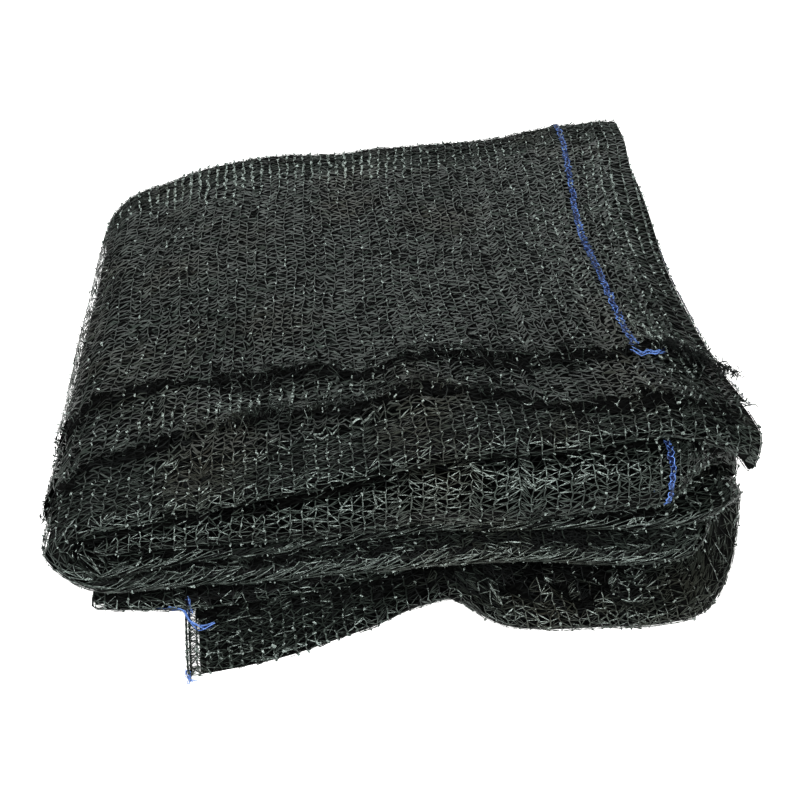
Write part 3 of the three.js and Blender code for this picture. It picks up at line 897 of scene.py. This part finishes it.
# corners of a tape's zig and its zag, and of a whole cell, as rows and half chains
tapeCorners = [((0, 0), (1, 1), (2, 2)), ((2, 2), (3, 1), (4, 0))]
cellCorners = [(0, 0), (4, 0), (2, 2), (2, 1)]
markerStrips = []
looseStrips = []
knitPieces = []
for number, patch in enumerate(patches):
    turn, rows = patch["turn"], patch["rows"]
    draw = np.random.default_rng(knit["seed"] + number)
    longest = turnSizes(turn, np.linspace(0, 5, 60))
    firstV, lastV = (int(math.ceil((length + longest["halfArc"]).max() / knit["vLength"]))
                     for length in longest["lengths"])
    rowLine = np.arange(-firstV * rowsPerV, lastV * rowsPerV + 1) * knit["vLength"] / rowsPerV
    wale, arc = np.meshgrid(np.arange(2 * knit["waleCount"] + 1) / 2, rowLine)
    inside = np.clip(np.minimum(wale, knit["waleCount"] - wale) / knit["heldWales"], 0, 1)
    # tapes are slack and split round the turns, in the right bend and at the selvedge, and flat elsewhere
    tipSlack = 1.0 if turn["tip"].endswith("Loop") else knit["backSlack"]
    chainSlack = tipSlack * ease((knit["slackReach"][turn["tip"]] - np.abs(arc)) / knit["slackRun"])
    at = chainAt(wale, middlePly(turn))
    leftBend, bend = (np.clip(np.sin(np.pi * (at - first)), 0, 1) * ((at > first) & (at < first + 1))
                      for first in (1, 3))
    chainSlack = np.maximum(chainSlack, knit["bendSlack"] * bend)
    atSelvedge = ease((knit["selvedgeWales"] - wale) / knit["heldWales"])
    slack = np.maximum(chainSlack, knit["selvedgeSlack"] * atSelvedge)
    jitter = mix(knit["flatJitter"], knit["slackJitter"], slack)

    movedWale = wale + inside * (knit["wander"] * wanderField(wale, arc, draw)
                                 + jitter * draw.normal(0, 1, wale.shape)) / knit["walePitch"]
    movedArc = (arc + knit["wanderAlong"] * wanderField(wale, arc, draw)
                + jitter * draw.normal(0, 1, wale.shape))
    movedArc += knit["columnShift"] * draw.normal(0, 1, (1, wale.shape[1]))
    if turn["fromPly"] == 0:        # the cover is pulled a little askew towards its cut end
        skew = knit["coverSkew"] * np.clip(-arc / knit["skewLength"], 0, 1)
        movedWale += skew * np.exp(-(wale / knit["skewWales"]) ** 2) * inside
    points, size = turnPoints(turn, np.clip(movedWale, 0, knit["waleCount"]), movedArc)
    normals = normalsOf(points)

    # row of the plain sheet under each point, to look up what shows
    halfArc, lengths = size["halfArc"], size["lengths"]
    before = rows[0] * (1 - (-movedArc - halfArc) / np.maximum(lengths[0], 1))
    within = rows[0] + knit["baseTurnRows"] * (movedArc / halfArc / 2 + 0.5)
    after = rows[0] + knit["baseTurnRows"] + rows[1] * (movedArc - halfArc) / np.maximum(lengths[1], 1)
    sheetRow = np.where(movedArc < -halfArc, before, np.where(movedArc > halfArc, after, within))
    lastRow = patch["outer"].shape[0]
    ragged = knit["raggedRows"] * np.abs(draw.normal(0, 1, (1, wale.shape[1])))
    lowest = ragged if turn["fromPly"] == 0 else -knit["overlapRows"]
    highest = lastRow - ragged if turn["toPly"] == 1 else lastRow + knit["overlapRows"]
    valid = (sheetRow >= lowest) & (sheetRow <= highest)

    vIndex = np.arange((len(rowLine) - 1) // rowsPerV) * rowsPerV
    v, g = np.meshgrid(vIndex, np.arange(knit["waleCount"]), indexing="ij")
    rowUnder = np.clip(sheetRow[v + midRow, 2 * g + 1].astype(int), 0, lastRow - 1)
    whole = np.ones(v.shape, dtype=bool)
    for dv, dg in cellCorners:
        whole &= valid[v + dv, 2 * g + dg]
    side = patch["sides"][rowUnder, g]
    straightOn = patch["open"][rowUnder, g]
    onSheet = knit["sheetLift"] * ~straightOn
    grid = {"points": points, "normals": normals, "side": side, "onSheet": onSheet}
    parts = []
    for layer in ("outer", "under"):
        isOuter = layer == "outer"
        cells = patch[layer][rowUnder, g] & whole
        row, column = v[cells], 2 * g[cells]
        middle = row + midRow, column + 1
        facing = normals[middle] * side[cells][:, None]
        shift = facing * onSheet[cells][:, None] * metre
        isSplit = (slack[middle] > knit["splitFrom"]) & isOuter
        # painted shade: where little light gets in, some of the tape takes darker, duller tones, less of it on
        # the right bend and where loops stand off
        paintedShadeUpTo = knit["paintedShadeUpTo"] * (1 - knit["bendLight"] * bend[middle])
        paintedShadeUpTo = paintedShadeUpTo * (1 - glintShare(points[middle]))
        paintedShadeMask = (patch["openness"][rowUnder, g][cells] < paintedShadeUpTo * draw.random(len(row))) & isOuter
        usualTone = knit["outerTone" if isOuter else "underPaintedShadeTone"]

        for corners in tapeCorners:
            spots = [points[row + dv, column + dg] + shift for dv, dg in corners]
            usualWidth = knit["coverWidth" if turn["fromPly"] == 0 else "flatWidth"]
            usualWidth = usualWidth + knit["openWidth"] * straightOn[cells][~isSplit][:, None]
            tapes = tapeStrips(*[spot[~isSplit] for spot in spots], facing[~isSplit], usualWidth, draw)
            tapes = tapes if isOuter else tapes[:, ::2]
            parts.append((tapes, tonesFor(paintedShadeMask[~isSplit], usualTone, draw)))
            isWide = np.linalg.norm(spots[2] - spots[0], axis=1) > knit["wideGap"] * metre
            for reach in (*knit["strandReaches"], *knit["wideReaches"]):
                isExtra = reach in knit["wideReaches"]
                split = isSplit & isWide if isExtra else isSplit
                plain = paintedShadeMask | isExtra          # of one quad
                for pick, step in [(split & ~plain, 1), (split & plain, 2)]:
                    farRow = row[pick] + corners[2][0] + reach + draw.integers(-1, 2, pick.sum())
                    far = np.clip(farRow, 0, len(rowLine) - 1), column[pick] + corners[2][1]
                    endNormal = normals[far] * side[cells][pick][:, None]
                    end = points[far] + endNormal * onSheet[cells][pick][:, None] * metre
                    strands = fanStrips(spots[0][pick], end, facing[pick], endNormal, draw)
                    parts.append((strands[:, ::step], tonesFor(paintedShadeMask[pick], knit["strandTone"], draw)))

        # a chain shows beside each cell that does
        chainShown = np.zeros((cells.shape[0], knit["waleCount"] + 1), dtype=bool)
        chainShown[:, :-1] |= cells
        chainShown[:, 1:] |= cells
        vRow, chain = np.nonzero(chainShown)
        beside = vRow, np.minimum(chain, knit["waleCount"] - 1)
        openness = patch["openness"][rowUnder[beside], beside[1]] if isOuter else np.ones(len(vRow))
        loose = chainSlack[vRow * rowsPerV + midRow, 2 * chain]
        for pick, step in [(loose > knit["loopFrom"], midRow), (loose <= knit["loopFrom"], rowsPerV)]:
            isLoose = step == midRow
            line, up = chainLine(grid, vRow[pick], chain[pick], step)
            swell = np.where(chain[pick] % knit["waleCount"] == 0, knit["selvedgeSwell"], 1.0)[:, None]
            swell = swell * (1 + knit["openSwell"] * straightOn[beside][pick])[:, None]
            swell = swell * np.array(knit["slackSwell"] if isLoose else (1.0, 1.0))
            share = loose[pick][:, None]
            widths = mix(knit["flatChain"], knit["slackChain"], share) * swell
            ridges = mix(knit["flatRidge"], knit["slackRidge"], share) * swell
            # painted shade on the chains where little light gets in
            isPaintedShade = openness[pick] < knit["paintedShadeUpTo"] * draw.random(len(line))
            parts.append((ridgedStrips(line, up, widths, ridges), tonesFor(isPaintedShade, usualTone, draw)))
            if not isOuter:
                continue
            for share in knit["loopPlaces"]:
                spots = mix(line[:, 0], line[:, 1], share)
                chance = glintShare(spots)
                if isLoose:
                    chance = np.maximum(chance, knit["loopShare"] * openness[pick])
                wanted = draw.random(len(line)) < chance
                lift = (1 - loose[pick][wanted])[:, None] * knit["flatLoopLift"] * metre
                swell = 1 + knit["glintSwell"] * glintShare(spots[wanted])
                loops = loopStrips(spots[wanted] + up[wanted, 0] * lift, up[wanted, 0], swell, draw)
                parts.append((loops, draw.uniform(*knit["loopTone"], len(loops))))
        if not isOuter:
            continue

        # the marker chains where they show, and the thin yarn in the selvedges
        reach = markerYarn["reach"].get(turn["fromPly"], 0)
        onFront = np.abs(movedArc[vRow * rowsPerV + midRow, 2 * chain]) < reach
        if turn["fromPly"] in markerYarn["wales"]:
            shown = (straightOn[beside] | onFront) & (chain == markerYarn["wales"][turn["fromPly"]])
            line, up = chainLine(grid, vRow[shown], chain[shown], 1)
            across = unit(np.cross(up, np.gradient(line, axis=1)))
            level = np.array(markerYarn["levels"])[None, :, None] * metre
            for swing, width, tones in markerYarn["yarns"]:
                sway = markerYarn["sway"] * np.array(swing)[None, :, None] * metre
                strips = ridgedStrips(line + across * sway + up * level, up,
                                      width * markerYarn["width"], markerYarn["ridge"])
                tones = draw.uniform(*tones, len(line)) + markerYarn["paintedHighlight"][turn["fromPly"]]
                markerStrips.append((strips, tones))
        if turn["fromPly"] in markerYarn["selvedgePlies"]:
            isFront = points[vRow * rowsPerV, 2 * chain, 1] < markerYarn["selvedgeBackY"] * metre
            shown = (chain == 0) & isFront & (draw.random(len(chain)) < markerYarn["selvedgeShare"])
            line, up = chainLine(grid, vRow[shown], chain[shown], 1)
            strips = ridgedStrips(line + up * markerYarn["selvedgeLift"] * metre, up,
                                  markerYarn["selvedgeWidth"], markerYarn["selvedgeRidge"])
            markerStrips.append((strips, draw.uniform(*markerYarn["selvedgeTone"], len(line))))

        # broken tapes
        chance = (looseYarn["brokenShare"] * (looseYarn["flatShare"] + slack[middle])
                  + looseYarn["bendShare"] * (bend + leftBend)[middle])
        chosen = draw.random(len(row)) < chance
        spots = points[row[chosen] + 1, column[chosen] + 1]
        way = draw.normal(0, 1, spots.shape) + looseYarn["lift"] * facing[chosen]
        length, width = (draw.uniform(*looseYarn[key], len(spots)) for key in ("length", "width"))
        strips = strandStrips(spots, way, length, width, looseYarn["curl"], looseYarn["sections"], draw)
        looseStrips.append((strips, draw.uniform(*looseYarn["tone"], len(spots))))
    knitPieces.append((turn, *gatherQuads(parts)))
    patch["grid"] = {"points": points, "normals": normals, "whole": whole & patch["outer"][rowUnder, g]}
    print("knit", turn["fromPly"], "to", turn["toPly"], "triangles", 2 * len(knitPieces[-1][2]))

# Loose ends along the two cut ends of the strip, longest where the photo shows them torn
fray = {
    "seed": 7,
    "strandsPerGap": 5,
    "leastLength": 1.5,
    "length": 3.2,                  # mm, mean of the short ends beyond that
    "longShare": 0.12,
    "longLength": 11.0,
    "longSpread": (0.5, 1.2),
    "mostLength": 14.0,
    "width": (0.5, 1.0),
    "tone": (-0.15, 1.0),
    "spread": 0.75,
    "lift": 0.35,
    "curl": 1.2,
    "sections": 5,
    "lastWale": 95,
    "longWale": 48,                 # no long ends beyond it, on the left bend
    "leftLength": 3.5,
    "cornerWales": 4,
    "cornerStrands": 400,
    "cornerLength": (1.5, 6.0),
    "cornerAside": 0.7,             # to the right
    "cornerTone": (-1.0, 0.3),
    "tornWales": (35, 47),          # of the second cut end, where more yarn stands off
    "tornStrands": 8,
    "tornLength": (4.0, 11.0),
}
frayDraw = np.random.default_rng(fray["seed"])
for patch, isFirst in [(patches[0], True), (patches[-1], False)]:
    points, normals, whole = (patch["grid"][key] for key in ("points", "normals", "whole"))
    ends = []
    for gap in range(fray["lastWale"]):
        shown = np.nonzero(whole[:, gap])[0]
        if len(shown) == 0:
            continue
        edge = shown[0] * rowsPerV if isFirst else shown[-1] * rowsPerV + rowsPerV
        behind = edge + (midRow if isFirst else -midRow)
        extra, reach = 0, (0.0, 0.0)        # only short and long ends
        atCorner = isFirst and gap < fray["cornerWales"]
        if atCorner:
            extra, reach = fray["cornerStrands"] // fray["cornerWales"], fray["cornerLength"]
        elif not isFirst and fray["tornWales"][0] <= gap < fray["tornWales"][1]:
            extra, reach = fray["tornStrands"], fray["tornLength"]
        for _ in range(fray["strandsPerGap"] + extra):
            ends.append((edge, behind, 2 * gap + frayDraw.integers(0, 3), *reach, atCorner))
    edge, behind, column, least, most, atCorner = (np.array(values) for values in zip(*ends))
    count = len(edge)
    outward = unit(points[edge, column] - points[behind, column])
    toRight = np.array([1.0, 0.0, 0.0]) * atCorner[:, None] * fray["cornerAside"]
    way = (outward + toRight + frayDraw.normal(0, fray["spread"], (count, 3))
           + normals[edge, column] * np.abs(frayDraw.normal(0, fray["lift"], count))[:, None])
    length = fray["leastLength"] + frayDraw.exponential(fray["length"], count)
    onRight = column < 2 * fray["longWale"]
    isLong = (frayDraw.random(count) < fray["longShare"]) & onRight
    length = np.where(isLong, frayDraw.uniform(*fray["longSpread"], count) * fray["longLength"], length)
    length = np.minimum(length, np.where(onRight, fray["mostLength"], fray["leftLength"]))
    length = np.where(most > 0, frayDraw.uniform(least, most), length)
    width = frayDraw.uniform(*fray["width"], count)
    strips = strandStrips(points[behind, column], way, length, width, fray["curl"], fray["sections"], frayDraw)
    tones = [np.where(atCorner, corner, usual) for corner, usual in zip(fray["cornerTone"], fray["tone"])]
    looseStrips.append((strips, frayDraw.uniform(*tones)))

# Blue yarn that has come loose, laid along listed routes in mm in the fold's coordinates
blueEnds = {
    "seed": 21,
    "filaments": 8,
    "samples": 13,
    "reach": (0.7, 1.0),            # of the route that a filament follows
    "start": (0.0, 0.2),
    "stray": 0.9,
    "strayKnots": 5,
    "floorGap": 0.8,
    "up": (0.0, -0.6, 0.8),
    "upSpread": 0.3,
    "width": 0.4,
    "ridge": 0.2,
    "tone": (-0.3, 0.9),
    "routes": {
        "ledge": [(-147, -172.5, 9), (-137, -173.5, 9), (-129, -175, 9), (-125.5, -183, 8),
                  (-120, -188, 8), (-112.5, -188, 9)],
        "flap": [(-127, -170.5, 13), (-125.6, -174, 9.5), (-125.8, -177, 7)],
        "corner": [(-125.5, -209, 3.5), (-124.5, -214, 2.2), (-123, -217, 1.2)],
        "cover": [(121, -104, 117), (127, -108, 116.5), (132, -106, 116.5), (136, -108, 116),
                  (142, -106, 116)],
    },
}


# points on a line of knots, at shares of its length
def alongKnots(shares, knots):
    places = np.linspace(0, 1, len(knots))
    return np.stack([np.interp(shares, places, knots[:, axis]) for axis in range(3)], axis=-1)


blueDraw = np.random.default_rng(blueEnds["seed"])
samples = np.linspace(0, 1, blueEnds["samples"])
for route in blueEnds["routes"].values():
    for _ in range(blueEnds["filaments"]):
        span = samples * blueDraw.uniform(*blueEnds["reach"]) + blueDraw.uniform(*blueEnds["start"])
        span = np.clip(span, 0, 1)
        line = alongKnots(span, np.array(route, dtype=float))
        line += alongKnots(span, blueDraw.normal(0, blueEnds["stray"], (blueEnds["strayKnots"], 3)))
        line[:, 2] = np.maximum(line[:, 2], blueEnds["floorGap"])
        line[:, :2] -= fold["centre"]
        line = (line * metre)[None]
        up = unit(np.array(blueEnds["up"]) + blueDraw.normal(0, blueEnds["upSpread"], line.shape))
        strips = ridgedStrips(line, up, blueEnds["width"], blueEnds["ridge"])
        markerStrips.append((strips, blueDraw.uniform(*blueEnds["tone"], 1)))
print("loose ends laid")

pieceNames = {0: "cover_knit", 3: "upper_lining_knit", 4: "inner_knit", 7: "lower_loop_knit",
              6: "inner_back_knit", 5: "upper_loop_knit", 2: "second_edge_knit"}
knitObjects = [meshFromArrays(pieceNames[turn["fromPly"]], *arrays) for turn, *arrays in knitPieces]
marker = meshFromArrays("marker_yarn", *gatherQuads(markerStrips))
hairs = meshFromArrays("loose_yarn", *gatherQuads(looseStrips))

# the plain sheet, except where the net is open
closedQuads = np.concatenate([patch["quads"][~patch["open"]].reshape(-1, 4) for patch in patches])
sheet = meshFromArrays("net_sheet", sheetPoints, closedQuads)
knitPlace = np.concatenate([np.stack([patch["wale"], patch["arcs"] / knit["vLength"]], axis=-1).reshape(-1, 2)
                            for patch in patches])
layer = sheet.data.uv_layers.new(name="knit")      # chains by loops of the knit
layer.data.foreach_set("uv", knitPlace[closedQuads].astype(np.float32).ravel())
print("meshes made:", len(knitObjects) + 3)


# sRGB hex to linear colour
def hexColour(text):
    values = [int(text[i:i + 2], 16) / 255 for i in (1, 3, 5)]
    linear = [v / 12.92 if v <= 0.04045 else ((v + 0.055) / 1.055) ** 2.4 for v in values]
    return (*linear, 1.0)


def newMaterial(name):
    material = bpy.data.materials.new(name)
    material.use_nodes = True
    material.node_tree.nodes.clear()
    return material


def addNode(material, kind, settings=None, links=None):
    node = material.node_tree.nodes.new(kind)
    for key, value in (settings or {}).items():
        if isinstance(key, int) or key in node.inputs:
            node.inputs[key].default_value = value
        else:
            setattr(node, key, value)
    for key, (source, output) in (links or {}).items():
        material.node_tree.links.new(source.outputs[output], node.inputs[key])
    return node


# Slit polyethylene tape, black with carbon: near black with a low, slightly green sheen
# and small bright glints
def tapeMaterial():
    material = newMaterial("black_polyethylene_tape")
    tone = addNode(material, "ShaderNodeAttribute", {"attribute_name": "tone"})
    place = addNode(material, "ShaderNodeTexCoord")
    colour = addNode(material, "ShaderNodeMix", {"data_type": "RGBA", 6: hexColour("#070908"),
                                                 7: hexColour("#2b312d")}, {0: (tone, "Fac")})
    dust = addNode(material, "ShaderNodeTexNoise", {"Scale": 1 / 0.07, "Detail": 3.0},     # patches of 70 mm
                   {"Vector": (place, "Object")})
    dusty = addNode(material, "ShaderNodeMapRange", {"From Min": 0.52, "From Max": 0.78, "To Max": 0.5},
                    {"Value": (dust, "Fac")})
    colour = addNode(material, "ShaderNodeMix", {"data_type": "RGBA", 7: hexColour("#332d24")},
                     {0: (dusty, "Result"), 6: (colour, 2)})
    crinkle = addNode(material, "ShaderNodeTexNoise", {"Scale": 1 / 0.0013, "Detail": 1.0},    # 1.3 mm
                      {"Vector": (place, "Object")})
    bump = addNode(material, "ShaderNodeBump", {"Strength": 0.8, "Distance": 0.0004},
                   {"Height": (crinkle, "Fac")})
    shader = addNode(material, "ShaderNodeBsdfPrincipled",
                     {"IOR": 1.5, "Roughness": 0.34, "Specular Tint": (0.88, 1.0, 0.95, 1.0)},
                     {"Base Color": (colour, 2), "Normal": (bump, "Normal")})
    addNode(material, "ShaderNodeOutputMaterial", links={"Surface": (shader, "BSDF")})
    return material


# The same tape one layer down and deep in the folds, darker and duller: painted shade of the outer layer and
# of the folds
def paintedShadeMaterial():
    material = newMaterial("painted_shade_polyethylene_tape")
    tone = addNode(material, "ShaderNodeAttribute", {"attribute_name": "tone"})
    share = addNode(material, "ShaderNodeMapRange", {"From Min": -1.0, "From Max": 0.0},
                    {"Value": (tone, "Fac")})
    colour = addNode(material, "ShaderNodeMix", {"data_type": "RGBA", 6: hexColour("#050606"),
                                                 7: hexColour("#1c1f1e")}, {0: (share, "Result")})
    shader = addNode(material, "ShaderNodeBsdfPrincipled",
                     {"IOR": 1.5, "Roughness": 0.7, "Specular IOR Level": 0.1}, {"Base Color": (colour, 2)})
    addNode(material, "ShaderNodeOutputMaterial", links={"Surface": (shader, "BSDF")})
    return material


# Blue yarn of the same plastic: deep blue, painted shade in its loops, to light blue, a painted highlight
# where it catches the light
def markerMaterial():
    material = newMaterial("blue_polyethylene_yarn")
    tone = addNode(material, "ShaderNodeAttribute", {"attribute_name": "tone"})
    ramp = addNode(material, "ShaderNodeMix", {"data_type": "RGBA", 6: hexColour("#050c28"),
                                               7: hexColour("#6483bd")}, {0: (tone, "Fac")})
    shader = addNode(material, "ShaderNodeBsdfPrincipled",
                     {"Roughness": 0.35, "IOR": 1.5, "Specular IOR Level": 0.12}, {"Base Color": (ramp, 2)})
    addNode(material, "ShaderNodeOutputMaterial", links={"Surface": (shader, "BSDF")})
    return material


# The plies behind the open net: zigzag tape with black gaps, all in near-black colours that are painted shade
def sheetMaterial():
    material = newMaterial("painted_shade_knit")
    place = addNode(material, "ShaderNodeUVMap", {"uv_map": "knit"})
    parts = addNode(material, "ShaderNodeSeparateXYZ", links={"Vector": (place, "UV")})
    share = addNode(material, "ShaderNodeMath", {"operation": "FRACT"}, {0: (parts, "X")})
    nearest = None
    for slope in (0.5, -0.5):       # the tape's zig and its zag
        line = addNode(material, "ShaderNodeMath", {"operation": "MULTIPLY_ADD", 1: slope},
                       {0: (share, "Value"), 2: (parts, "Y")})
        apart = addNode(material, "ShaderNodeMath", {"operation": "PINGPONG", 1: 0.5}, {0: (line, "Value")})
        links = {0: (apart, "Value"), 1: (nearest or apart, "Value")}
        nearest = addNode(material, "ShaderNodeMath", {"operation": "MINIMUM"}, links)
    cover = addNode(material, "ShaderNodeMapRange",
                    {"From Min": 0.08, "From Max": 0.16, "To Min": 1.0, "To Max": 0.0},
                    {"Value": (nearest, "Value")})
    # painted shade: near-black tape, and black in the gaps between
    colour = addNode(material, "ShaderNodeMix", {"data_type": "RGBA", 6: hexColour("#010101"),
                                                 7: hexColour("#080908")}, {0: (cover, "Result")})
    shader = addNode(material, "ShaderNodeBsdfPrincipled",
                     {"Roughness": 0.7, "IOR": 1.5, "Specular IOR Level": 0.05}, {"Base Color": (colour, 2)})
    addNode(material, "ShaderNodeOutputMaterial", links={"Surface": (shader, "BSDF")})
    return material


tape = tapeMaterial()
paintedShadeTape = paintedShadeMaterial()
for piece in knitObjects + [hairs]:
    piece.data.materials.append(tape)
    piece.data.materials.append(paintedShadeTape)
marker.data.materials.append(markerMaterial())
sheet.data.materials.append(sheetMaterial())

for piece in [sheet, marker, hairs] + knitObjects:
    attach(piece, "root")
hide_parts("net")
print("materials and rides set")

# Pale floor, soft light and the camera
bpy.ops.object.select_all(action="DESELECT")
bpy.ops.mesh.primitive_plane_add(size=8.0, location=(0, 0, 0))
floor = bpy.context.object
floor.name = "floor"
floorMaterial = newMaterial("white_paper")      # near white and without a sheen
floorShader = addNode(floorMaterial, "ShaderNodeBsdfPrincipled",
                      {"Base Color": hexColour("#f4f4f3"), "Roughness": 0.8})
addNode(floorMaterial, "ShaderNodeOutputMaterial", links={"Surface": (floorShader, "BSDF")})
floor.data.materials.append(floorMaterial)

studio = {
    "elevation": 41.0,
    "yaw": 5.0,
    "position": (-41.3, -530.1, 461.5),     # mm, in the fold's coordinates
    "lens": 45.9,
    "sensor": 36.0,
    "world": 0.08,
    "contrast": 0.84,               # as in the photo, whose gaps are black
}
camera = bpy.data.objects.new("camera", bpy.data.cameras.new("camera"))
bpy.context.scene.collection.objects.link(camera)
position = np.array(studio["position"])
position[:2] -= fold["centre"]
camera.location = position * metre
camera.rotation_euler = Euler((math.radians(90 - studio["elevation"]), 0, math.radians(-studio["yaw"])))
camera.data.lens = studio["lens"]
camera.data.sensor_width = studio["sensor"]
camera.data.sensor_fit = "HORIZONTAL"
camera.data.clip_start = 0.01
bpy.context.scene.camera = camera
bpy.context.scene.view_settings.view_transform = "Standard"
bpy.context.scene.view_settings.gamma = studio["contrast"]

world = bpy.data.worlds.new("studio")
bpy.context.scene.world = world
world.use_nodes = True
world.node_tree.nodes["Background"].inputs["Color"].default_value = (1, 1, 1, 1)
world.node_tree.nodes["Background"].inputs["Strength"].default_value = studio["world"]

# broad soft lights behind the pack, which the flat tapes mirror, and in front, and two small ones for glints
for name, location, size, strength in [
        ("backSoftbox", (-0.05, 1.33, 0.90), (2.6, 0.8), 17.0),
        ("frontSoftbox", (-0.30, -1.05, 1.15), (1.2, 0.8), 27.0)]:
    bpy.ops.object.light_add(type="AREA", location=location)
    softbox = bpy.context.object
    softbox.name = name
    softbox.data.shape = "RECTANGLE"
    softbox.data.size, softbox.data.size_y = size
    softbox.data.energy = strength
    softbox.rotation_euler = Vector(location).to_track_quat("Z", "Y").to_euler()
for name, towards, strength, angle in [
        ("overCamera", (0.25, -0.60, 0.80), 3.4, 11.0),
        ("frontLeft", (-0.30, -0.80, 0.52), 2.4, 11.0)]:
    light = bpy.data.objects.new(name, bpy.data.lights.new(name, "SUN"))
    bpy.context.scene.collection.objects.link(light)
    light.data.energy = strength
    light.data.angle = math.radians(angle)
    light.rotation_euler = Vector(towards).to_track_quat("Z", "Y").to_euler()
